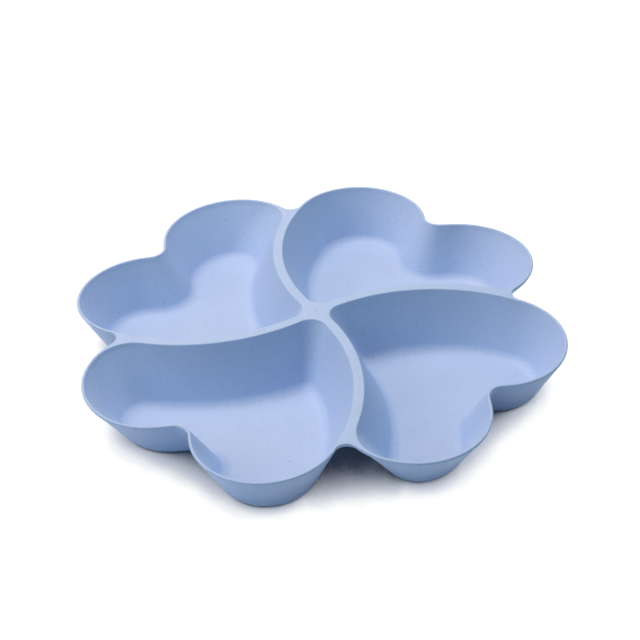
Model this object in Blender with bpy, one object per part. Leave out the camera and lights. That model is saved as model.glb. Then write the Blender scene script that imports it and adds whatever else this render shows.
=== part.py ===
"""A divided serving tray: four heart-shaped bowls under one gently domed rim frame.

Metres, +Z up. The origin lies on the table under the hub, and each divider's outer
end lies near the X or the Y axis. The four bowls are quarter turns of one another.
"""

import math

import bmesh
import bpy
from mathutils import Matrix

# Overall heights
TRAY_HEIGHT = 0.039
DOME_DROP = 0.00635
DOME_REACH = 0.150
DOME_POWER = 1.42
DOME_RELIEF_SHARE = 0.26

# Plan of one quarter: a bowed divider on each side, and two round lobes outside
DIVIDER_SPAN = 0.1150
DIVIDER_RADIUS = 0.1158
LAND_WIDTH = 0.0066
LOBE_1_RADIUS = 0.0409
LOBE_1_ANGLE = math.radians(53.8)
LOBE_2_RADIUS = 0.0426
LOBE_2_RADIUS_AT_FLOOR = 0.0250
LOBE_2_ANGLE = math.radians(-16.0)
LOBE_2_BITE = 0.01475
LOBE_2_DRIFT = 0.0091
LOBE_2_DRIFT_ANGLE = math.radians(96.7)
NOTCH_RADIUS = 0.0105
NOTCH_RADIUS_AT_FLOOR = 0.0228
NOTCH_CLEAR_1 = 0.00015
NOTCH_CLEAR_2 = 0.00065
HUB_CORNER = 0.0100
HUB_CORNER_AT_FLOOR = 0.0030
WEB_CORNER = 0.0218
WEB_CORNER_SHARE = 0.6
WEB_END_RADIUS = 0.0068

# Section through a wall
WALL = 0.0018
WALL_RUN = 0.0156
FLOOR_FILLET = 0.0080
EDGE_RADIUS = 0.0008
FRAME_DEPTH = 0.0024
JOINT_GAP = 0.0003

# Number of steps along each stretch
SIDE_1_STEPS = 12
LOBE_1_STEPS = 16
NOTCH_STEPS = 5
LOBE_2_STEPS = 14
CORNER_STEPS = 6
SIDE_2_STEPS = 10
HUB_STEPS = 5
WEB_END_STEPS = 5
FILLET_STEPS = 4
EDGE_STEPS = 3

QUARTERS = 4
PLASTIC_COLOUR = (0.42, 0.52, 0.80, 1.0)
PLASTIC_ROUGHNESS = 0.55
SMOOTH_ANGLE = math.radians(35)
COLLECTION_NAME = "divided_serving_tray"
FRAME_NAME = "rim_frame"
BOWL_NAMES = ("bowl_front_right", "bowl_back_right", "bowl_back_left", "bowl_front_left")

# Sizes that follow from those above
SIDE_DEPTH = math.sqrt(DIVIDER_RADIUS**2 - (DIVIDER_SPAN / 2) ** 2)
SIDE_1_RADIUS = DIVIDER_RADIUS - LAND_WIDTH / 2
SIDE_2_RADIUS = DIVIDER_RADIUS + LAND_WIDTH / 2
WALL_LEAN = math.atan(WALL_RUN / (TRAY_HEIGHT - EDGE_RADIUS - WALL))
RIM_WIDTH = WALL / math.cos(WALL_LEAN)
FILLET_TURN = math.pi / 2 - WALL_LEAN
FLOOR_INSET = WALL_RUN + FLOOR_FILLET * math.tan(FILLET_TURN / 2)
FILLET_CENTRE_HEIGHT = WALL + FLOOR_FILLET
FILLET_TOP = FILLET_CENTRE_HEIGHT - FLOOR_FILLET * math.cos(FILLET_TURN)
BOWL_TOP = TRAY_HEIGHT - FRAME_DEPTH - JOINT_GAP


def along(centre, distance, angle):
    """The point that lies a distance from a centre, at an angle from +X."""
    return (centre[0] + distance * math.cos(angle), centre[1] + distance * math.sin(angle))


def angle_to(start, end):
    return math.atan2(end[1] - start[1], end[0] - start[0])


def towards(centre, distance, target):
    """The point that lies a distance from a centre, on the way to a target."""
    return along(centre, distance, angle_to(centre, target))


def turned(point, quarters):
    """The point, turned anticlockwise round the hub by whole quarters."""
    x, y = point
    for _ in range(quarters % QUARTERS):
        x, y = -y, x
    return (x, y)


def crossings(centre_1, radius_1, centre_2, radius_2):
    """The two points that circle 1 and circle 2 share."""
    apart = math.dist(centre_1, centre_2)
    reach = (apart**2 + radius_1**2 - radius_2**2) / (2 * apart)
    swing = math.acos(max(-1.0, min(1.0, reach / radius_1)))
    heading = angle_to(centre_1, centre_2)
    return [along(centre_1, radius_1, heading + side * swing) for side in (1, -1)]


def from_hub(point):
    return math.hypot(*point)


def mixed(start, end, share):
    return start + share * (end - start)


def outer_meeting(centre_1, radius_1, centre_2, radius_2, radius):
    """The centre, away from the hub, of a circle that touches two others."""
    found = crossings(centre_1, radius_1 + radius, centre_2, radius_2 + radius)
    return max(found, key=from_hub)


def arc(centre, radius, start, end, steps, turn):
    """Points along an arc, with its end left out. A turn of 1 runs anticlockwise."""
    first = angle_to(centre, start)
    sweep = (angle_to(centre, end) - first) * turn % math.tau
    return [along(centre, radius, first + turn * sweep * i / steps) for i in range(steps)]


def run_out(lobe, lobe_radius, notch, notch_radius):
    """The straight run between a lobe and the notch: where it leaves each of them."""
    swing = math.acos(min(1.0, (lobe_radius + notch_radius) / math.dist(lobe, notch)))
    heading = angle_to(lobe, notch)
    starts = [along(lobe, lobe_radius, heading + side * swing) for side in (1, -1)]
    ends = [along(notch, -notch_radius, heading + side * swing) for side in (1, -1)]
    outer = max((0, 1), key=lambda i: from_hub(starts[i]))
    return starts[outer], ends[outer]


SIDE_1 = (DIVIDER_SPAN / 2, -SIDE_DEPTH)
SIDE_2 = turned(SIDE_1, -1)
LOBE_1 = along(SIDE_1, SIDE_1_RADIUS - LOBE_1_RADIUS, LOBE_1_ANGLE)
LOBE_2 = along(SIDE_2, SIDE_2_RADIUS + LOBE_2_RADIUS - LOBE_2_BITE, LOBE_2_ANGLE)
NOTCH = outer_meeting(
    LOBE_1, LOBE_1_RADIUS + NOTCH_CLEAR_1, LOBE_2, LOBE_2_RADIUS + NOTCH_CLEAR_2, NOTCH_RADIUS
)
WEB_END = outer_meeting(
    LOBE_1, LOBE_1_RADIUS + RIM_WIDTH, turned(LOBE_2, 1), LOBE_2_RADIUS + RIM_WIDTH, WEB_END_RADIUS
)


def heart_outline(inset, outset):
    """A bowl's outline in plan: the mouth drawn in by inset, then grown by outset."""
    down_share = inset / FLOOR_INSET
    side_1 = SIDE_1_RADIUS - inset + outset
    side_2 = SIDE_2_RADIUS + inset - outset
    lobe_1 = LOBE_1_RADIUS - inset + outset
    lobe_2 = mixed(LOBE_2_RADIUS, LOBE_2_RADIUS_AT_FLOOR, down_share) + outset
    notch = mixed(NOTCH_RADIUS, NOTCH_RADIUS_AT_FLOOR, down_share) - outset
    hub = mixed(HUB_CORNER, HUB_CORNER_AT_FLOOR, down_share) + outset
    corner = min(WEB_CORNER, WEB_CORNER_SHARE * (LOBE_2_RADIUS - inset)) + outset
    lobe_2_at = along(LOBE_2, down_share * LOBE_2_DRIFT, LOBE_2_DRIFT_ANGLE)
    notch_at = outer_meeting(
        LOBE_1, lobe_1 + NOTCH_CLEAR_1, lobe_2_at, lobe_2 + NOTCH_CLEAR_2, notch
    )
    hub_at = min(crossings(SIDE_1, side_1 - hub, SIDE_2, side_2 + hub), key=from_hub)
    corner_at = max(crossings(lobe_2_at, lobe_2 - corner, SIDE_2, side_2 + corner), key=from_hub)
    leave_1, reach_notch = run_out(LOBE_1, lobe_1, notch_at, notch)
    leave_2, leave_notch = run_out(lobe_2_at, lobe_2, notch_at, notch)
    hub_to_side = towards(SIDE_1, side_1, hub_at)
    side_to_hub = towards(SIDE_2, side_2, hub_at)
    side_to_lobe = along(SIDE_1, side_1, LOBE_1_ANGLE)
    lobe_to_corner = towards(lobe_2_at, lobe_2, corner_at)
    corner_to_side = towards(SIDE_2, side_2, corner_at)
    points = arc(SIDE_1, side_1, hub_to_side, side_to_lobe, SIDE_1_STEPS, -1)
    points += arc(LOBE_1, lobe_1, side_to_lobe, leave_1, LOBE_1_STEPS, -1) + [leave_1]
    points += arc(notch_at, notch, reach_notch, leave_notch, NOTCH_STEPS, 1) + [leave_notch]
    points += arc(lobe_2_at, lobe_2, leave_2, lobe_to_corner, LOBE_2_STEPS, -1)
    points += arc(corner_at, corner, lobe_to_corner, corner_to_side, CORNER_STEPS, -1)
    points += arc(SIDE_2, side_2, corner_to_side, side_to_hub, SIDE_2_STEPS, 1)
    points += arc(hub_at, hub, side_to_hub, hub_to_side, HUB_STEPS, -1)
    return points


def tray_outline(inset):
    """The outer edge of the whole rim in plan, drawn in by inset."""
    lobe_1 = LOBE_1_RADIUS + RIM_WIDTH - inset
    lobe_2 = LOBE_2_RADIUS + RIM_WIDTH - inset
    notch = NOTCH_RADIUS - RIM_WIDTH + inset
    web_end = WEB_END_RADIUS + inset
    last_web_end = turned(WEB_END, -1)
    leave_1, reach_notch = run_out(LOBE_1, lobe_1, NOTCH, notch)
    leave_2, leave_notch = run_out(LOBE_2, lobe_2, NOTCH, notch)
    web_to_lobe = towards(LOBE_1, lobe_1, WEB_END)
    lobe_to_web = towards(LOBE_2, lobe_2, last_web_end)
    web_away = turned(web_to_lobe, -1)
    quarter = arc(LOBE_1, lobe_1, web_to_lobe, leave_1, LOBE_1_STEPS, -1) + [leave_1]
    quarter += arc(NOTCH, notch, reach_notch, leave_notch, NOTCH_STEPS, 1) + [leave_notch]
    quarter += arc(LOBE_2, lobe_2, leave_2, lobe_to_web, LOBE_2_STEPS, -1)
    quarter += arc(last_web_end, web_end, lobe_to_web, web_away, WEB_END_STEPS, 1)
    return [turned(point, -count) for count in range(QUARTERS) for point in quarter]


def dome_drop(point):
    """How far the rim comes down at a point: least at the web ends, near the axes."""
    relief = DOME_RELIEF_SHARE * (1 + math.cos(QUARTERS * math.atan2(point[1], point[0]))) / 2
    return DOME_DROP * (from_hub(point) / DOME_REACH) ** DOME_POWER * (1 - relief)


def place(point, height):
    """The 3-D point: heights above the floor fillet come down with the dome."""
    share = max(0.0, min(1.0, (height - FILLET_TOP) / (BOWL_TOP - FILLET_TOP)))
    return (*point, height - share * dome_drop(point))


def bowl_section():
    """(inset, outset, height) from the floor up, of the inner and of the outer skin."""
    inside = []
    outside = []
    for i in range(FILLET_STEPS + 1):
        angle = FILLET_TURN * i / FILLET_STEPS
        inset = FLOOR_INSET - FLOOR_FILLET * math.sin(angle)
        inside.append((inset, 0.0, FILLET_CENTRE_HEIGHT - FLOOR_FILLET * math.cos(angle)))
        outer_height = FILLET_CENTRE_HEIGHT - (FLOOR_FILLET + WALL) * math.cos(angle)
        outside.append((inset, WALL * math.sin(angle), outer_height))
    top_inset = (FRAME_DEPTH + JOINT_GAP - EDGE_RADIUS) * math.tan(WALL_LEAN)
    inside.append((top_inset, 0.0, BOWL_TOP))
    outside.append((top_inset, RIM_WIDTH, BOWL_TOP))
    return inside, outside


def edge_section():
    """(reach into the rim, height) from the rim's top round its edge to its underside."""
    section = []
    for i in range(EDGE_STEPS + 1):
        angle = math.pi / 2 * i / EDGE_STEPS
        reach = EDGE_RADIUS * (1 - math.sin(angle))
        section.append((reach, TRAY_HEIGHT - EDGE_RADIUS * (1 - math.cos(angle))))
    return section


def add_ring(mesh, outline, height):
    """A closed ring of edges at one height of the section."""
    points = [mesh.verts.new(place(point, height)) for point in outline]
    return [mesh.edges.new((a, b)) for a, b in zip(points, points[1:] + points[:1])]


def join_rings(mesh, rings):
    for lower, upper in zip(rings, rings[1:]):
        bmesh.ops.bridge_loops(mesh, edges=lower + upper)


def cap_ring(mesh, ring):
    bmesh.ops.contextual_create(mesh, geom=ring)


def fill_between(mesh, edges):
    """Fills the level surface between an outer ring and the rings inside it."""
    bmesh.ops.triangle_fill(mesh, use_beauty=True, edges=edges, normal=(0, 0, 1))


def finish_mesh(mesh, name):
    """Turns the faces outwards, shades them smooth and returns the mesh data."""
    bmesh.ops.recalc_face_normals(mesh, faces=mesh.faces)
    data = bpy.data.meshes.new(name)
    mesh.to_mesh(data)
    mesh.free()
    data.shade_smooth()
    data.set_sharp_from_angle(angle=SMOOTH_ANGLE)
    return data


def bowl_mesh():
    """The front right bowl: an inner and an outer skin, each with a flat floor."""
    mesh = bmesh.new()
    tops = []
    for skin in bowl_section():
        rings = [
            add_ring(mesh, heart_outline(inset, outset), height) for inset, outset, height in skin
        ]
        join_rings(mesh, rings)
        cap_ring(mesh, rings[0])
        tops += rings[-1]
    fill_between(mesh, tops)
    return finish_mesh(mesh, "bowl")


def frame_mesh():
    """The rim: a thin domed plate with four mouths, rounded at its upper edges."""
    mesh = bmesh.new()
    tops = []
    undersides = []
    foot_inset = (FRAME_DEPTH - EDGE_RADIUS) * math.tan(WALL_LEAN)
    foot_height = TRAY_HEIGHT - FRAME_DEPTH
    for quarters in range(QUARTERS):
        outlines = [(heart_outline(0.0, reach), height) for reach, height in edge_section()]
        outlines.append((heart_outline(foot_inset, 0.0), foot_height))
        rings = [
            add_ring(mesh, [turned(point, quarters) for point in outline], height)
            for outline, height in outlines
        ]
        join_rings(mesh, rings)
        tops += rings[0]
        undersides += rings[-1]
    rings = [add_ring(mesh, tray_outline(reach), height) for reach, height in edge_section()]
    rings.append(add_ring(mesh, tray_outline(foot_inset), foot_height))
    join_rings(mesh, rings)
    fill_between(mesh, tops + rings[0])
    fill_between(mesh, undersides + rings[-1])
    return finish_mesh(mesh, FRAME_NAME)


def plastic(name):
    material = bpy.data.materials.new(name)
    material.use_nodes = True
    shader = material.node_tree.nodes["Principled BSDF"]
    shader.inputs["Base Color"].default_value = PLASTIC_COLOUR
    shader.inputs["Roughness"].default_value = PLASTIC_ROUGHNESS
    shader.inputs["Metallic"].default_value = 0.0
    return material


def add_piece(name, data, quarters, root, collection):
    """One named piece with a material of its own, turned round the hub."""
    piece = bpy.data.objects.new(name, data)
    collection.objects.link(piece)
    piece.parent = root
    piece.matrix_local = Matrix.Rotation(quarters * math.tau / QUARTERS, 4, "Z")
    piece.material_slots[0].link = "OBJECT"
    piece.material_slots[0].material = plastic(name + "_plastic")
    return piece


def main():
    for old in list(bpy.data.objects):
        bpy.data.objects.remove(old)
    collection = bpy.data.collections.new(COLLECTION_NAME)
    bpy.context.scene.collection.children.link(collection)
    root = bpy.data.objects.new(COLLECTION_NAME + "_root", None)
    collection.objects.link(root)
    bowl = bowl_mesh()
    frame = frame_mesh()
    for data in (bowl, frame):
        data.materials.append(None)
    add_piece(FRAME_NAME, frame, 0, root, collection)
    for quarters, name in enumerate(BOWL_NAMES):
        add_piece(name, bowl, quarters, root, collection)


if __name__ == "__main__":
    main()
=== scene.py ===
"""Divided serving tray: four heart-shaped bowls under one thin, gently domed rim.

Laid out as a Blender add-on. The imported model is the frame, so the rim and the bowls
keep its places and sizes, and get here the fine surface of a moulded plastic tray.
Metres, +Z up. The origin lies on the table under the hub.
"""

import math

import bmesh
import bpy
from bpy.props import FloatProperty, FloatVectorProperty, IntProperty, PointerProperty
from mathutils import Matrix, Vector


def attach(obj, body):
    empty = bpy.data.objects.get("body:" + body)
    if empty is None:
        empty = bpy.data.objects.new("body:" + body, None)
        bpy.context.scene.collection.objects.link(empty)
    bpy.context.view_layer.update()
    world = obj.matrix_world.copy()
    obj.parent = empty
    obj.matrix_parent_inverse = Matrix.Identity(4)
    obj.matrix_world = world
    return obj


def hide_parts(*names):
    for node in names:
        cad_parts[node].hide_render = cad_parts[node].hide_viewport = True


bl_info = {
    "name": "Divided Serving Tray",
    "version": (1, 0, 0),
    "blender": (4, 5, 0),
    "location": "3D View > Sidebar > Tray",
    "description": "Builds a moulded plastic tray with four heart-shaped bowls",
    "category": "Add Mesh",
}

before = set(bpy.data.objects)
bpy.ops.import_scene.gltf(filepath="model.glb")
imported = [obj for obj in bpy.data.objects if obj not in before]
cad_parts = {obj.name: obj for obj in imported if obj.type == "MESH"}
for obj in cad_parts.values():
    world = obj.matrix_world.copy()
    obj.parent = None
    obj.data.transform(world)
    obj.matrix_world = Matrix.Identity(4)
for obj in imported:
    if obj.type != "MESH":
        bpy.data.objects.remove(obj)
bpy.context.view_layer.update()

QUARTERS = 4
RIM_NODE = "rim_frame"
BOWL_NODES = ("bowl_front_right", "bowl_back_right", "bowl_back_left", "bowl_front_left")
BODY = "root"
RIM_PIECE = "moulded_rim"
BOWL_PIECE = "moulded_"

UP = (0, 0, 1)
CLOCKWISE = -1
ANTICLOCKWISE = 1
MILLIMETRE = 0.001
SHARP_ANGLE = math.radians(40)

# Steps along each stretch of the outlines and the sections, for a fineness of one
SIDE_STEPS = 10
LOBE_1_STEPS = 16
LOBE_2_STEPS = 14
NOTCH_STEPS = 5
HUB_CORNER_STEPS = 5
WEB_CORNER_STEPS = 6
WEB_END_STEPS = 5
FILLET_STEPS = 4
WALL_STEPS = 2
INNER_EDGE_STEPS = 2
OUTER_EDGE_STEPS = 4
GATE_STEPS = 8

# The gate scar's place among the rim's materials, after the plastic
GATE_SCAR = 1

# The plastic's patterns: how wide a cloud of filler is, how wide the waves are that
# bend the flecks' outlines, and how far they bend them
CLOUD_WIDTH = 20 * MILLIMETRE
WAVE_WIDTH = 1 * MILLIMETRE
WAVE_REACH = 0.6 * MILLIMETRE

# How much of its radius a fleck keeps its full colour over, before it fades out
FLECK_CORE = 0.4
SPECK_CORE = 0.3

# Polypropylene's IOR, with the dull highlight and the uneven gloss of its mould texture
POLYPROPYLENE_IOR = 1.49
SPECULAR_LEVEL = 0.35
ROUGHNESS_SWING = 0.05

# The colour sockets of a Mix node, whose names its other sockets share
MIX_A = 6
MIX_B = 7
MIX_RESULT = 2

WHITE = (1.0, 1.0, 1.0, 1.0)
TABLE_HALF_WIDTH = 3.0
CONTACT_SAMPLES = 16

# Each lamp's name, its power and colour in the studio's values, its width and its place
LAMPS = (
    ("key_softbox", "key_power", "warm", 0.55, (-0.12, 0.33, 0.95)),
    ("left_softbox", "left_power", "warm", 0.8, (-1.1, 0, 0.8)),
    ("right_fill", "right_power", "cool", 0.8, (1.1, 0, 0.8)),
    ("front_fill", "front_power", "cold", 0.8, (-0.9, -0.9, 0.9)),
)


def linear(hex_colour):
    """An sRGB hex colour as the linear red, green and blue that the shaders take."""
    channels = [int(hex_colour[i : i + 2], 16) / 255 for i in (1, 3, 5)]
    return tuple(c / 12.92 if c <= 0.04045 else ((c + 0.055) / 1.055) ** 2.4 for c in channels)


def length(name, description, default):
    """A size in metres that the sidebar shows."""
    return FloatProperty(
        name=name, description=description, default=default, min=0, unit="LENGTH", precision=4
    )


def turn(name, description, degrees):
    """An angle that the sidebar shows in degrees."""
    return FloatProperty(
        name=name, description=description, default=math.radians(degrees), subtype="ANGLE"
    )


def power(name, description, watts):
    """The power of a lamp."""
    return FloatProperty(
        name=name, description=description, default=watts, min=0, subtype="POWER", unit="POWER"
    )


def share(name, description, default):
    """A plain factor from nothing to one."""
    return FloatProperty(
        name=name, description=description, default=default, min=0, max=1, subtype="FACTOR"
    )


def colour(name, description, hex_colour):
    """A colour, given as an sRGB hex value."""
    return FloatVectorProperty(
        name=name, description=description, default=linear(hex_colour), subtype="COLOR",
        min=0, max=1,
    )


class TraySizes(bpy.types.PropertyGroup):
    """The plan of one quarter of the tray and the section through its walls."""

    divider_span: length("Divider span", "Straight length of a bowed divider", 0.1150)
    divider_radius: length("Divider radius", "Radius of a divider's bow", 0.1158)
    land_width: length("Land width", "Width of a divider between two mouths", 0.0066)
    lobe_1_radius: length("Lobe 1 radius", "Radius of a mouth's first lobe", 0.0409)
    lobe_1_angle: turn("Lobe 1 angle", "Where lobe 1 leaves its divider", 53.8)
    lobe_2_radius: length("Lobe 2 radius", "Radius of a mouth's second lobe", 0.0426)
    lobe_2_floor: length("Lobe 2 floor radius", "Radius of that lobe at the floor", 0.0250)
    lobe_2_angle: turn("Lobe 2 angle", "Where lobe 2 lies along its divider", -16.0)
    lobe_2_bite: length("Lobe 2 bite", "How far lobe 2 reaches over its divider", 0.01475)
    lobe_2_drift: length("Lobe 2 drift", "How far lobe 2 moves on its way to the floor", 0.0091)
    lobe_2_drift_angle: turn("Lobe 2 drift angle", "Which way lobe 2 moves, from +X", 96.7)
    notch_radius: length("Notch radius", "Radius of the notch between the lobes", 0.0105)
    notch_floor: length("Notch floor radius", "Radius of the notch at the floor", 0.0228)
    notch_clear_1: length("Notch clearance 1", "Straight run from lobe 1 to the notch", 0.00015)
    notch_clear_2: length("Notch clearance 2", "Straight run from lobe 2 to the notch", 0.00065)
    hub_corner: length("Hub corner", "Radius of a mouth's corner at the hub", 0.0100)
    hub_corner_floor: length("Hub corner floor", "Radius of that corner at the floor", 0.0030)
    web_corner: length("Web corner", "Radius of a mouth's corner at a web end", 0.0218)
    web_corner_share: share("Web corner share", "Most of that corner that a lobe leaves", 0.6)
    web_end_radius: length("Web end radius", "Radius of the rim's outer edge there", 0.0068)
    dome_drop: length("Dome drop", "How far the rim comes down at the dome's reach", 0.00635)
    dome_reach: length("Dome reach", "Distance from the hub for that drop", 0.150)
    dome_power: FloatProperty(
        name="Dome power", description="How late the rim turns down", default=1.42, min=1
    )
    dome_relief: share("Dome relief", "Share of the drop that the web ends are spared", 0.26)
    wall: length("Wall", "Thickness of the walls and floors", 0.0018)
    wall_run: length("Wall run", "How far a wall leans in on its way down", 0.0156)
    floor_fillet: length("Floor fillet", "Radius between a wall and its floor", 0.0080)
    edge_radius: length("Edge radius", "Rounding of the rim's edges", 0.0008)
    rim_depth: length("Rim depth", "Height of the rim above the bowls", 0.0024)
    gate_radius: length("Gate radius", "Radius of the moulding gate's mark", 0.0011)
    gate_depth: length("Gate depth", "Depth of the moulding gate's mark", 0.00012)
    fineness: IntProperty(
        name="Fineness", description="Steps along each stretch, as a multiple", default=3, min=1
    )


class TrayFinish(bpy.types.PropertyGroup):
    """The look of the plastic: straw-filled polypropylene with a matte mould texture."""

    plastic: colour("Plastic", "Powder blue of the plastic", "#ADC2E9")
    plastic_deep: colour("Plastic, deep", "The same blue where the filler lies denser", "#A6BBE3")
    dark_straw: colour("Dark straw", "Colour of the darker straw", "#5F6F96")
    brown_straw: colour("Brown straw", "Colour of the browner straw", "#8A8794")
    gate_mark: colour("Gate mark", "Colour of the plastic at the gate", "#ABB5DA")
    fleck_spacing: length("Fleck spacing", "Distance from one fleck to the next", 0.0042)
    fleck_radius: length("Fleck radius", "Radius of the largest flecks", 0.0008)
    fleck_cover: share("Fleck cover", "How much a fleck shows through the plastic", 0.48)
    speck_spacing: length("Speck spacing", "Distance from one fine speck to the next", 0.0013)
    speck_radius: length("Speck radius", "Radius of the largest fine specks", 0.0006)
    speck_cover: share("Speck cover", "How much a fine speck shows through", 0.32)
    texture_grain: length("Texture grain", "Width of one grain of the mould's texture", 0.0005)
    texture_depth: length("Texture depth", "Depth of the mould's texture", 0.000012)
    roughness: share("Roughness", "Roughness of the matte surface", 0.55)


class TrayStudio(bpy.types.PropertyGroup):
    """The white card that the tray stands on, the lamps and the camera."""

    card: colour("Card", "Colour of the card in the lamps' light", "#E0E9F6")
    shadow_share: share("Shadow share", "How much the lamps' light shows on the card", 0.10)
    # The painted contact shadow on the card: its darkest colour, its colour half way out, how far
    # it reaches, and the openness where it is darkest and where it ends
    painted_contact_shadow: colour("Contact shade", "Colour of the card right under the tray", "#1C2638")
    painted_shadow_edge: colour("Contact edge", "Colour half way out from there to the white", "#B2B8C5")
    contact_reach: length("Contact reach", "How far the tray shades the card", 0.045)
    contact_core: share("Contact core", "Openness below which the card is darkest", 0.16)
    contact_end: share("Contact end", "Openness above which the card stays white", 0.52)
    sky: FloatProperty(name="Sky", description="Strength of the even light", default=0.02, min=0)
    warm: colour("Warm light", "Colour of the key and the left lamp", "#FFEEDE")
    cool: colour("Cool light", "Colour of the fill at the right", "#BCF2FF")
    cold: colour("Cold light", "Colour of the fill at the front left", "#9BE9FF")
    key_power: power("Key power", "Power of the lamp overhead, a little behind", 9.3)
    left_power: power("Left power", "Power of the lamp at the left", 5.6)
    right_power: power("Right power", "Power of the fill at the right", 4.2)
    front_power: power("Front power", "Power of the fill at the front left", 4.4)
    lens: FloatProperty(
        name="Lens", description="Focal length of the camera", default=95.17, unit="CAMERA"
    )
    azimuth: turn("Azimuth", "The camera's turn round the tray, from the front", -6.72)
    elevation: turn("Elevation", "The camera's height above the horizon", 36.38)
    roll: turn("Roll", "The camera's tilt to one side", -2.57)
    distance: length("Distance", "From the camera to the point that it looks at", 1.0062)
    aim: FloatVectorProperty(
        name="Aim", description="The point that the camera looks at",
        default=(0.0009, -0.0112, 0.0400), subtype="XYZ", unit="LENGTH",
    )


def along(centre, distance, angle):
    """The point that lies a distance from a centre, at an angle from +X."""
    return Vector(centre) + distance * Vector((math.cos(angle), math.sin(angle)))


def angle_to(start, end):
    """The heading from one point to another, from +X."""
    return math.atan2(end[1] - start[1], end[0] - start[0])


def towards(centre, distance, target):
    """The point that lies a distance from a centre, on the way to a target."""
    return along(centre, distance, angle_to(centre, target))


def turned(point, quarters):
    """The point, turned anticlockwise round the hub by whole quarters."""
    return Matrix.Rotation(quarters * math.tau / QUARTERS, 2) @ Vector(point)


def mixed(start, end, part):
    """The value that lies a part of the way from start to end."""
    return start + part * (end - start)


def crossings(centre_1, radius_1, centre_2, radius_2):
    """The two points that circle 1 and circle 2 share."""
    apart = (centre_2 - centre_1).length
    reach = (apart**2 + radius_1**2 - radius_2**2) / (2 * apart)
    swing = math.acos(max(-1.0, min(1.0, reach / radius_1)))
    heading = angle_to(centre_1, centre_2)
    return [along(centre_1, radius_1, heading + side * swing) for side in (1, -1)]


def run_out(lobe, lobe_radius, notch, notch_radius):
    """The straight run between a lobe and the notch: where it leaves each of them."""
    swing = math.acos(min(1.0, (lobe_radius + notch_radius) / (notch - lobe).length))
    heading = angle_to(lobe, notch)
    starts = [along(lobe, lobe_radius, heading + side * swing) for side in (1, -1)]
    ends = [along(notch, -notch_radius, heading + side * swing) for side in (1, -1)]
    outer = max((0, 1), key=lambda i: starts[i].length)
    return starts[outer], ends[outer]


def dome_drop(sizes, point):
    """How far the rim comes down at a point: least at the web ends, near the axes."""
    relief = sizes.dome_relief * (1 + math.cos(QUARTERS * angle_to((0, 0), point))) / 2
    return sizes.dome_drop * (point.length / sizes.dome_reach) ** sizes.dome_power * (1 - relief)


class Pen:
    """Draws one closed outline by spinning and extruding its newest vertex.

    It turns the points that it is given by its quarters, so that one quarter of the
    outline can be drawn again for each of the others.
    """

    def __init__(self, start, height, fineness):
        self.sheet = bmesh.new()
        self.height = height
        self.fineness = fineness
        self.start = self.sheet.verts.new((*start, height))
        self.tip = self.start
        self.quarters = 0

    def arc(self, centre, end, steps, way):
        """Spins the tip round a centre, one way or the other, until it faces the end."""
        centre, end = turned(centre, self.quarters), turned(end, self.quarters)
        sweep = (angle_to(centre, end) - angle_to(centre, self.tip.co)) * way % math.tau
        spun = bmesh.ops.spin(
            self.sheet, geom=[self.tip], cent=(*centre, self.height), axis=UP,
            angle=way * sweep, steps=steps * self.fineness,
        )
        self.tip = spun["geom_last"][0]

    def line(self, end):
        """Extrudes the tip straight to a point."""
        self.tip = bmesh.ops.extrude_vert_indiv(self.sheet, verts=[self.tip])["verts"][0]
        self.tip.co.xy = turned(end, self.quarters)

    def stamp(self, mesh):
        """Welds the outline's ends, adds it to a mesh and returns its edges there."""
        ends = [self.start, self.tip]
        bmesh.ops.pointmerge(self.sheet, verts=ends, merge_co=self.start.co)
        drawn = bpy.data.meshes.new("outline")
        self.sheet.to_mesh(drawn)
        self.sheet.free()
        mesh.from_mesh(drawn)
        count = len(drawn.edges)
        bpy.data.meshes.remove(drawn)
        return list(mesh.edges)[-count:]


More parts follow.
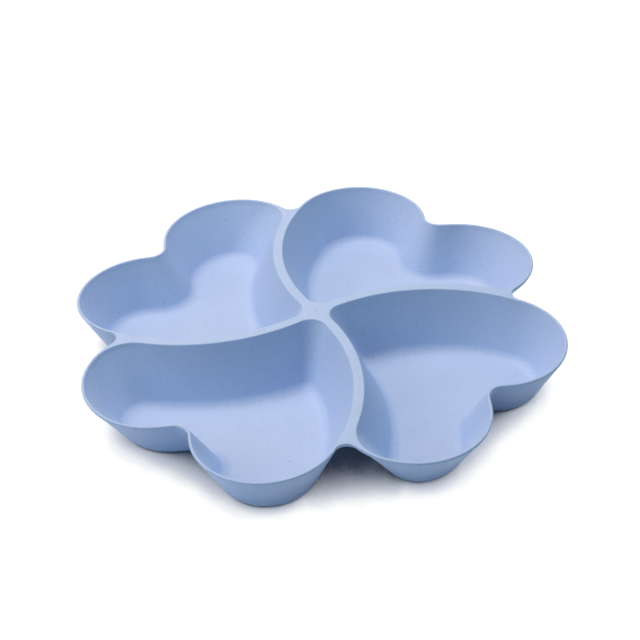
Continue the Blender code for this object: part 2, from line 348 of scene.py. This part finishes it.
class Plan:
    """The circles that the tray is drawn from, worked out from its sizes."""

    def __init__(self, sizes, height):
        self.sizes = sizes
        self.height = height
        self.lean = math.atan(sizes.wall_run / (height - sizes.edge_radius - sizes.wall))
        self.rim_width = sizes.wall / math.cos(self.lean)
        half_span = sizes.divider_span / 2
        depth = math.sqrt(sizes.divider_radius**2 - half_span**2)
        self.side_1 = Vector((half_span, -depth))
        self.side_2 = turned(self.side_1, -1)
        self.side_1_radius = sizes.divider_radius - sizes.land_width / 2
        self.side_2_radius = sizes.divider_radius + sizes.land_width / 2
        lobe_1_reach = self.side_1_radius - sizes.lobe_1_radius
        lobe_2_reach = self.side_2_radius + sizes.lobe_2_radius - sizes.lobe_2_bite
        self.lobe_1 = along(self.side_1, lobe_1_reach, sizes.lobe_1_angle)
        self.lobe_2 = along(self.side_2, lobe_2_reach, sizes.lobe_2_angle)
        self.notch = self.outer_meeting(
            self.lobe_1, sizes.lobe_1_radius + sizes.notch_clear_1,
            self.lobe_2, sizes.lobe_2_radius + sizes.notch_clear_2, sizes.notch_radius,
        )
        self.web_end = self.outer_meeting(
            self.lobe_1, sizes.lobe_1_radius + self.rim_width,
            turned(self.lobe_2, 1), sizes.lobe_2_radius + self.rim_width,
            sizes.web_end_radius,
        )
        self.fillet_turn = math.pi / 2 - self.lean
        self.floor_inset = sizes.wall_run + sizes.floor_fillet * math.tan(self.fillet_turn / 2)
        self.fillet_height = sizes.wall + sizes.floor_fillet
        self.fillet_top = self.fillet_height - sizes.floor_fillet * math.cos(self.fillet_turn)
        self.bowl_top = height - sizes.rim_depth
        self.rim_foot_inset = (sizes.rim_depth - sizes.edge_radius) * math.tan(self.lean)

    @staticmethod
    def outer_meeting(centre_1, radius_1, centre_2, radius_2, radius):
        """The centre, away from the hub, of a circle that touches two others."""
        found = crossings(centre_1, radius_1 + radius, centre_2, radius_2 + radius)
        return max(found, key=lambda point: point.length)

    def draw_mouth(self, mesh, inset, outset, height):
        """A bowl's outline: its mouth drawn in by inset, then grown by outset."""
        sizes = self.sizes
        down = inset / self.floor_inset
        side_1 = self.side_1_radius - inset + outset
        side_2 = self.side_2_radius + inset - outset
        lobe_1 = sizes.lobe_1_radius - inset + outset
        lobe_2 = mixed(sizes.lobe_2_radius, sizes.lobe_2_floor, down) + outset
        notch = mixed(sizes.notch_radius, sizes.notch_floor, down) - outset
        hub = mixed(sizes.hub_corner, sizes.hub_corner_floor, down) + outset
        widest = sizes.web_corner_share * (sizes.lobe_2_radius - inset)
        corner = min(sizes.web_corner, widest) + outset
        lobe_2_at = along(self.lobe_2, down * sizes.lobe_2_drift, sizes.lobe_2_drift_angle)
        notch_at = self.outer_meeting(
            self.lobe_1, lobe_1 + sizes.notch_clear_1,
            lobe_2_at, lobe_2 + sizes.notch_clear_2, notch,
        )
        hub_at = min(
            crossings(self.side_1, side_1 - hub, self.side_2, side_2 + hub),
            key=lambda point: point.length,
        )
        corner_at = max(
            crossings(lobe_2_at, lobe_2 - corner, self.side_2, side_2 + corner),
            key=lambda point: point.length,
        )
        leave_1, reach_notch = run_out(self.lobe_1, lobe_1, notch_at, notch)
        leave_2, leave_notch = run_out(lobe_2_at, lobe_2, notch_at, notch)
        side_to_lobe = along(self.side_1, side_1, sizes.lobe_1_angle)
        lobe_to_corner = towards(lobe_2_at, lobe_2, corner_at)
        corner_to_side = towards(self.side_2, side_2, corner_at)
        side_to_hub = towards(self.side_2, side_2, hub_at)
        hub_to_side = towards(self.side_1, side_1, hub_at)
        pen = Pen(hub_to_side, height, sizes.fineness)
        pen.arc(self.side_1, side_to_lobe, SIDE_STEPS, CLOCKWISE)
        pen.arc(self.lobe_1, leave_1, LOBE_1_STEPS, CLOCKWISE)
        pen.line(reach_notch)
        pen.arc(notch_at, leave_notch, NOTCH_STEPS, ANTICLOCKWISE)
        pen.line(leave_2)
        pen.arc(lobe_2_at, lobe_to_corner, LOBE_2_STEPS, CLOCKWISE)
        pen.arc(corner_at, corner_to_side, WEB_CORNER_STEPS, CLOCKWISE)
        pen.arc(self.side_2, side_to_hub, SIDE_STEPS, ANTICLOCKWISE)
        pen.arc(hub_at, hub_to_side, HUB_CORNER_STEPS, CLOCKWISE)
        return pen.stamp(mesh)

    def draw_rim(self, mesh, inset, height):
        """The outer edge of the whole rim, drawn in by inset."""
        sizes = self.sizes
        lobe_1 = sizes.lobe_1_radius + self.rim_width - inset
        lobe_2 = sizes.lobe_2_radius + self.rim_width - inset
        notch = sizes.notch_radius - self.rim_width + inset
        last_web_end = turned(self.web_end, -1)
        leave_1, reach_notch = run_out(self.lobe_1, lobe_1, self.notch, notch)
        leave_2, leave_notch = run_out(self.lobe_2, lobe_2, self.notch, notch)
        start = towards(self.lobe_1, lobe_1, self.web_end)
        to_web = towards(self.lobe_2, lobe_2, last_web_end)
        pen = Pen(start, height, sizes.fineness)
        for quarters in range(0, -QUARTERS, -1):
            pen.quarters = quarters
            pen.arc(self.lobe_1, leave_1, LOBE_1_STEPS, CLOCKWISE)
            pen.line(reach_notch)
            pen.arc(self.notch, leave_notch, NOTCH_STEPS, ANTICLOCKWISE)
            pen.line(leave_2)
            pen.arc(self.lobe_2, to_web, LOBE_2_STEPS, CLOCKWISE)
            pen.arc(last_web_end, turned(start, -1), WEB_END_STEPS, ANTICLOCKWISE)
        return pen.stamp(mesh)

    def lower(self, mesh):
        """Brings the rim down with the dome, and the walls with it, down to the fillets."""
        span = self.bowl_top - self.fillet_top
        for vert in mesh.verts:
            rise = max(0.0, min(1.0, (vert.co.z - self.fillet_top) / span))
            vert.co.z -= rise * dome_drop(self.sizes, vert.co.xy)


def new_piece(mesh, name, materials):
    """A finished piece from a mesh: faces outwards, shaded smooth, riding on the tray."""
    bmesh.ops.recalc_face_normals(mesh, faces=mesh.faces)
    data = bpy.data.meshes.new(name)
    mesh.to_mesh(data)
    mesh.free()
    data.shade_smooth()
    data.set_sharp_from_angle(angle=SHARP_ANGLE)
    for material in materials:
        data.materials.append(material)
    piece = bpy.data.objects.new(name, data)
    bpy.context.scene.collection.objects.link(piece)
    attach(piece, BODY)
    return piece


def join_rings(mesh, rings):
    """Joins each ring of edges to the next one with a band of faces."""
    for ring, following in zip(rings, rings[1:]):
        bmesh.ops.bridge_loops(mesh, edges=ring + following)


def cap(mesh, ring):
    """Fills one ring with a flat face and returns it."""
    return bmesh.ops.contextual_create(mesh, geom=ring)["faces"]


def tray_height(sizes):
    """The height over the hub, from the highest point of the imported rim."""
    top = max((v.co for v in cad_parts[RIM_NODE].data.vertices), key=lambda co: co.z)
    return top.z + dome_drop(sizes, top.xy)


def bowl_skins(mesh, plan):
    """The rings of one bowl, from the floor up, of its inner and of its outer skin."""
    sizes = plan.sizes
    fillet_steps = FILLET_STEPS * sizes.fineness
    wall_steps = WALL_STEPS * sizes.fineness
    inside = []
    outside = []
    for i in range(fillet_steps + 1):
        angle = plan.fillet_turn * i / fillet_steps
        inset = plan.floor_inset - sizes.floor_fillet * math.sin(angle)
        inner_height = plan.fillet_height - sizes.floor_fillet * math.cos(angle)
        outer_height = plan.fillet_height - (sizes.floor_fillet + sizes.wall) * math.cos(angle)
        inside.append((inset, 0.0, inner_height))
        outside.append((inset, sizes.wall * math.sin(angle), outer_height))
    last_inset, _, inner_last = inside[-1]
    _, last_outset, outer_last = outside[-1]
    for i in range(1, wall_steps + 1):
        up = i / wall_steps
        inset = mixed(last_inset, plan.rim_foot_inset, up)
        outset = mixed(last_outset, plan.rim_width, up)
        inside.append((inset, 0.0, mixed(inner_last, plan.bowl_top, up)))
        outside.append((inset, outset, mixed(outer_last, plan.bowl_top, up)))
    return [[plan.draw_mouth(mesh, *step) for step in skin] for skin in (inside, outside)]


def edge_arc(plan, last_angle, steps):
    """(reach, height) round an edge, from straight up to the wall's own direction."""
    radius = plan.sizes.edge_radius
    points = []
    for i in range(steps + 1):
        angle = math.pi / 2 + (last_angle - math.pi / 2) * i / steps
        points.append((radius * math.cos(angle), plan.height - radius * (1 - math.sin(angle))))
    return points


def open_edges(mesh, above):
    """The edges with no face on one side, above or below the rim's middle."""
    middle = sum(vert.co.z for vert in mesh.verts) / len(mesh.verts)
    loose = [edge for edge in mesh.edges if len(edge.link_faces) < 2]
    return [edge for edge in loose if (edge.verts[0].co.z > middle) == above]


def rim_mesh(plan):
    """The rim: a thin plate with four mouths, its edges rounded, and the gate's mark."""
    sizes = plan.sizes
    mesh = bmesh.new()
    inner_centre = sizes.edge_radius / math.cos(plan.lean)
    rings = [
        plan.draw_mouth(mesh, 0.0, inner_centre - reach, height)
        for reach, height in edge_arc(plan, plan.lean, INNER_EDGE_STEPS * sizes.fineness)
    ]
    rings.append(plan.draw_mouth(mesh, plan.rim_foot_inset, 0.0, plan.bowl_top))
    join_rings(mesh, rings)
    bmesh.ops.spin(
        mesh, geom=mesh.verts[:] + mesh.edges[:] + mesh.faces[:], cent=(0, 0, 0), axis=UP,
        angle=math.tau * (QUARTERS - 1) / QUARTERS, steps=QUARTERS - 1, use_duplicate=True,
    )
    rings = [
        plan.draw_rim(mesh, inner_centre - reach, height)
        for reach, height in edge_arc(plan, -plan.lean, OUTER_EDGE_STEPS * sizes.fineness)
    ]
    rings.append(plan.draw_rim(mesh, plan.rim_foot_inset, plan.bowl_top))
    join_rings(mesh, rings)
    gate = bmesh.ops.create_circle(
        mesh, segments=GATE_STEPS * sizes.fineness, radius=sizes.gate_radius,
        matrix=Matrix.Translation((0, 0, plan.height)),
    )
    gate_ring = list({edge for vert in gate["verts"] for edge in vert.link_edges})
    for above in (True, False):
        edges = open_edges(mesh, above)
        bmesh.ops.triangle_fill(mesh, use_beauty=True, edges=edges, normal=UP)
    gate_face = cap(mesh, gate_ring)
    sunk = bmesh.ops.inset_region(
        mesh, faces=gate_face, thickness=sizes.gate_depth, depth=-sizes.gate_depth
    )
    for face in gate_face + sunk["faces"]:
        face.material_index = GATE_SCAR
    plan.lower(mesh)
    return mesh


def add_node(tree, kind, settings=None, values=None, links=None):
    """Adds a shader node, sets it, and gives its inputs their values and links."""
    node = tree.nodes.new(kind)
    for name, value in (settings or {}).items():
        setattr(node, name, value)
    for name, value in (values or {}).items():
        node.inputs[name].default_value = value
    for name, socket in (links or {}).items():
        tree.links.new(socket, node.inputs[name])
    return node


def opaque(tint):
    """A colour with a full alpha, as the sockets take it."""
    return (*tint, 1.0)


def flecks(tree, place, spacing, radius, core):
    """A mask of irregular flecks scattered through the plastic, and each one's own chance."""
    cells = add_node(
        tree, "ShaderNodeTexVoronoi", {"feature": "F1"}, {"Scale": 1 / spacing},
        {"Vector": place},
    )
    chance = add_node(tree, "ShaderNodeSeparateColor", links={"Color": cells.outputs["Color"]})
    own_size = add_node(
        tree, "ShaderNodeMath", {"operation": "MULTIPLY"}, {1: radius / spacing},
        {0: chance.outputs["Red"]},
    )
    own_core = add_node(
        tree, "ShaderNodeMath", {"operation": "MULTIPLY"}, {1: core},
        {0: own_size.outputs[0]},
    )
    mask = add_node(
        tree, "ShaderNodeMapRange", {"interpolation_type": "SMOOTHSTEP"},
        {"To Min": 1.0, "To Max": 0.0},
        {
            "Value": cells.outputs["Distance"],
            "From Min": own_core.outputs[0],
            "From Max": own_size.outputs[0],
        },
    )
    return mask.outputs["Result"], chance.outputs["Green"]


def straw_polypropylene(name, finish, base, deep):
    """Straw-filled polypropylene, injection moulded against a fine spark-eroded texture.

    The eye gets a matte, slightly milky powder blue, a faint cloudiness where the filler
    lies denser, faint darker and browner straw flecks up to 1.6 mm wide over finer
    specks, and no sharp highlight.
    """
    material = bpy.data.materials.new(name)
    material.use_nodes = True
    tree = material.node_tree
    shader = tree.nodes["Principled BSDF"]
    place = add_node(tree, "ShaderNodeTexCoord").outputs["Object"]

    # Slow clouds, where the filler lies denser
    clouds = add_node(
        tree, "ShaderNodeTexNoise", values={"Scale": 1 / CLOUD_WIDTH, "Detail": 3.0},
        links={"Vector": place},
    )
    body = add_node(
        tree, "ShaderNodeMix", {"data_type": "RGBA"}, {MIX_A: opaque(base), MIX_B: opaque(deep)},
        {0: clouds.outputs["Fac"]},
    )

    # Small waves that make the flecks irregular
    waves = add_node(
        tree, "ShaderNodeTexNoise", values={"Scale": 1 / WAVE_WIDTH, "Detail": 2.0},
        links={"Vector": place},
    )
    bent = add_node(
        tree, "ShaderNodeVectorMath", {"operation": "MULTIPLY_ADD"}, {1: (WAVE_REACH,) * 3},
        {0: waves.outputs["Color"], 2: place},
    ).outputs[0]

    # The straw. Its finest specks are narrower than the render shows, so they are drawn
    # as coarse as they need to be seen
    fleck, chance = flecks(tree, bent, finish.fleck_spacing, finish.fleck_radius, FLECK_CORE)
    speck, _ = flecks(tree, bent, finish.speck_spacing, finish.speck_radius, SPECK_CORE)
    straw = add_node(
        tree, "ShaderNodeMix", {"data_type": "RGBA"},
        {MIX_A: opaque(finish.dark_straw), MIX_B: opaque(finish.brown_straw)}, {0: chance},
    )
    faint_speck = add_node(
        tree, "ShaderNodeMath", {"operation": "MULTIPLY"}, {1: finish.speck_cover}, {0: speck}
    )
    faint_fleck = add_node(
        tree, "ShaderNodeMath", {"operation": "MULTIPLY"}, {1: finish.fleck_cover}, {0: fleck}
    )
    cover = add_node(
        tree, "ShaderNodeMath", {"operation": "MAXIMUM"},
        links={0: faint_speck.outputs[0], 1: faint_fleck.outputs[0]},
    )
    surface = add_node(
        tree, "ShaderNodeMix", {"data_type": "RGBA"},
        links={
            0: cover.outputs[0],
            MIX_A: body.outputs[MIX_RESULT],
            MIX_B: straw.outputs[MIX_RESULT],
        },
    )
    tree.links.new(surface.outputs[MIX_RESULT], shader.inputs["Base Color"])

    # The mould's spark-eroded texture, which keeps the surface matte. Its real grain is
    # a few hundredths of a millimetre, so it is drawn coarser, and shallow, to show
    texture = add_node(
        tree, "ShaderNodeTexNoise",
        values={"Scale": 1 / finish.texture_grain, "Detail": 2.0, "Roughness": 0.6},
        links={"Vector": place},
    )
    bump = add_node(
        tree, "ShaderNodeBump", values={"Distance": finish.texture_depth, "Strength": 1.0},
        links={"Height": texture.outputs["Fac"]},
    )
    tree.links.new(bump.outputs["Normal"], shader.inputs["Normal"])
    gloss = add_node(
        tree, "ShaderNodeMapRange",
        values={
            "To Min": finish.roughness - ROUGHNESS_SWING,
            "To Max": finish.roughness + ROUGHNESS_SWING,
        },
        links={"Value": clouds.outputs["Fac"]},
    )
    tree.links.new(gloss.outputs["Result"], shader.inputs["Roughness"])
    shader.inputs["IOR"].default_value = POLYPROPYLENE_IOR
    shader.inputs["Specular IOR Level"].default_value = SPECULAR_LEVEL
    return material


def plastic(finish):
    """The tray's plastic, made once and shared by every piece."""
    name = "straw_polypropylene"
    found = bpy.data.materials.get(name)
    return found or straw_polypropylene(name, finish, finish.plastic, finish.plastic_deep)


def gate_scar(finish):
    """The same plastic where it was cut from the gate, a little greyer and redder."""
    return straw_polypropylene(
        "gate_scar_polypropylene", finish, finish.gate_mark, finish.gate_mark
    )


class TRAY_OT_rim(bpy.types.Operator):
    """Builds the rim: dividers, hub, web ends and the thin edge round the bowls"""

    bl_idname = "tray.rim"
    bl_label = "Rim"

    def execute(self, context):
        sizes = context.scene.tray_sizes
        finish = context.scene.tray_finish
        mesh = rim_mesh(Plan(sizes, tray_height(sizes)))
        rim = new_piece(mesh, RIM_PIECE, [plastic(finish), gate_scar(finish)])
        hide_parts(RIM_NODE)
        return {"FINISHED"}


class TRAY_OT_bowls(bpy.types.Operator):
    """Builds the four heart-shaped bowls, each a quarter turn from the last"""

    bl_idname = "tray.bowls"
    bl_label = "Bowls"

    def execute(self, context):
        sizes = context.scene.tray_sizes
        finish = context.scene.tray_finish
        plan = Plan(sizes, tray_height(sizes))
        first = bmesh.new()
        tops = []
        for rings in bowl_skins(first, plan):
            join_rings(first, rings)
            cap(first, rings[0])
            tops += rings[-1]
        bmesh.ops.triangle_fill(first, use_beauty=True, edges=tops, normal=UP)
        plan.lower(first)
        for quarters, node in enumerate(BOWL_NODES):
            mesh = first.copy()
            quarter_turn = Matrix.Rotation(quarters * math.tau / QUARTERS, 3, "Z")
            bmesh.ops.rotate(mesh, verts=mesh.verts, cent=(0, 0, 0), matrix=quarter_turn)
            bowl = new_piece(mesh, BOWL_PIECE + node, [plastic(finish)])
            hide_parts(node)
        first.free()
        return {"FINISHED"}


def seen(tree):
    """One for the rays that the camera sees directly, in a gloss or through a clear piece."""
    path = add_node(tree, "ShaderNodeLightPath")
    seen_or_glossy = add_node(
        tree, "ShaderNodeMath", {"operation": "MAXIMUM"},
        links={0: path.outputs["Is Camera Ray"], 1: path.outputs["Is Glossy Ray"]},
    )
    return add_node(
        tree, "ShaderNodeMath", {"operation": "MAXIMUM"},
        links={0: seen_or_glossy.outputs[0], 1: path.outputs["Is Transmission Ray"]},
    ).outputs[0]


def white_card(studio):
    """Matte white card that looks plain white but for a painted shadow of the tray.

    What is seen of it is an emitted white with a painted contact shadow, darker where
    the tray closes over it, and by the shadow share the real light and shadow on it.
    """
    material = bpy.data.materials.new("matte_white_studio_card")
    material.use_nodes = True
    tree = material.node_tree
    tree.nodes.remove(tree.nodes["Principled BSDF"])
    # Painted shade: ambient occlusion darkens the card's emitted white close to the tray, as a
    # contact shadow
    openness = add_node(
        tree, "ShaderNodeAmbientOcclusion", {"samples": CONTACT_SAMPLES},
        {"Distance": studio.contact_reach},
    )
    shade = add_node(tree, "ShaderNodeValToRGB", links={"Fac": openness.outputs["AO"]})
    shade.color_ramp.interpolation = "EASE"
    darkest, whitest = shade.color_ramp.elements
    darkest.position, darkest.color = studio.contact_core, opaque(studio.painted_contact_shadow)
    whitest.position, whitest.color = studio.contact_end, WHITE
    half_way = mixed(studio.contact_core, studio.contact_end, 0.5)
    shade.color_ramp.elements.new(half_way).color = opaque(studio.painted_shadow_edge)

    # The strength makes up for the share that the lamps' light takes, so white stays 1
    white_with_painted_shadow = add_node(
        tree, "ShaderNodeEmission", values={"Strength": 1 / (1 - studio.shadow_share)},
        links={"Color": shade.outputs["Color"]},
    )
    lit = add_node(tree, "ShaderNodeBsdfDiffuse", values={"Color": opaque(studio.card)})
    look = add_node(
        tree, "ShaderNodeMixShader", values={0: studio.shadow_share},
        links={1: white_with_painted_shadow.outputs[0], 2: lit.outputs[0]},
    )
    card = add_node(
        tree, "ShaderNodeMixShader",
        links={0: seen(tree), 1: lit.outputs[0], 2: look.outputs[0]},
    )
    tree.links.new(card.outputs[0], tree.nodes["Material Output"].inputs["Surface"])
    return material


def white_surroundings(studio):
    """A world that looks plain white and gives the tray a little even light."""
    world = bpy.data.worlds.new("studio")
    world.use_nodes = True
    tree = world.node_tree
    strength = add_node(
        tree, "ShaderNodeMapRange", values={"To Min": studio.sky, "To Max": 1.0},
        links={"Value": seen(tree)},
    )
    even = tree.nodes["Background"]
    even.inputs["Color"].default_value = WHITE
    tree.links.new(strength.outputs["Result"], even.inputs["Strength"])
    return world


def add_table(scene, studio):
    """The card that the tray stands on, wide enough to fill the view."""
    mesh = bmesh.new()
    bmesh.ops.create_grid(mesh, x_segments=1, y_segments=1, size=TABLE_HALF_WIDTH)
    data = bpy.data.meshes.new("table")
    mesh.to_mesh(data)
    mesh.free()
    data.materials.append(white_card(studio))
    table = bpy.data.objects.new("table", data)
    scene.collection.objects.link(table)


def add_lamp(scene, name, watts, tint, width, place):
    """A square softbox that faces the tray."""
    lamp = bpy.data.lights.new(name, "AREA")
    lamp.energy = watts
    lamp.color = tint
    lamp.size = width
    holder = bpy.data.objects.new(name, lamp)
    scene.collection.objects.link(holder)
    holder.location = place
    holder.rotation_euler = Vector(place).to_track_quat("Z", "Y").to_euler()


def add_camera(scene, studio):
    """The camera, at its distance from its aim, and turned a little on its own axis."""
    camera = bpy.data.cameras.new("camera")
    camera.lens = studio.lens
    holder = bpy.data.objects.new("camera", camera)
    scene.collection.objects.link(holder)
    back = Vector((
        math.sin(studio.azimuth) * math.cos(studio.elevation),
        -math.cos(studio.azimuth) * math.cos(studio.elevation),
        math.sin(studio.elevation),
    ))
    facing = back.to_track_quat("Z", "Y").to_matrix().to_4x4()
    level = Matrix.Rotation(studio.roll, 4, "Z")
    place = Matrix.Translation(Vector(studio.aim) + studio.distance * back)
    holder.matrix_world = place @ facing @ level
    scene.camera = holder


class TRAY_OT_studio(bpy.types.Operator):
    """Sets up the white card, the soft light and the camera"""

    bl_idname = "tray.studio"
    bl_label = "Studio"

    def execute(self, context):
        scene = context.scene
        studio = scene.tray_studio
        scene.view_settings.view_transform = "Standard"
        add_table(scene, studio)
        scene.world = white_surroundings(studio)
        for name, watts, tint, width, place in LAMPS:
            add_lamp(scene, name, getattr(studio, watts), getattr(studio, tint), width, place)
        add_camera(scene, studio)
        return {"FINISHED"}


class TRAY_PT_sidebar(bpy.types.Panel):
    """The tray's sizes, finish and studio, and a button for each group of pieces"""

    bl_label = "Divided Serving Tray"
    bl_space_type = "VIEW_3D"
    bl_region_type = "UI"
    bl_category = "Tray"

    def draw(self, context):
        column = self.layout.column()
        for operator in OPERATORS:
            column.operator(operator.bl_idname)
        for group_name, group in GROUPS.items():
            for name in group.__annotations__:
                column.prop(getattr(context.scene, group_name), name)


GROUPS = {"tray_sizes": TraySizes, "tray_finish": TrayFinish, "tray_studio": TrayStudio}
OPERATORS = (TRAY_OT_rim, TRAY_OT_bowls, TRAY_OT_studio)
CLASSES = (*GROUPS.values(), *OPERATORS, TRAY_PT_sidebar)


def register():
    for made in CLASSES:
        bpy.utils.register_class(made)
    for name, group in GROUPS.items():
        setattr(bpy.types.Scene, name, PointerProperty(type=group))


def unregister():
    for name in GROUPS:
        delattr(bpy.types.Scene, name)
    for made in reversed(CLASSES):
        bpy.utils.unregister_class(made)


def main():
    register()
    bpy.ops.tray.studio()
    bpy.ops.tray.rim()
    bpy.ops.tray.bowls()


if __name__ == "__main__":
    main()
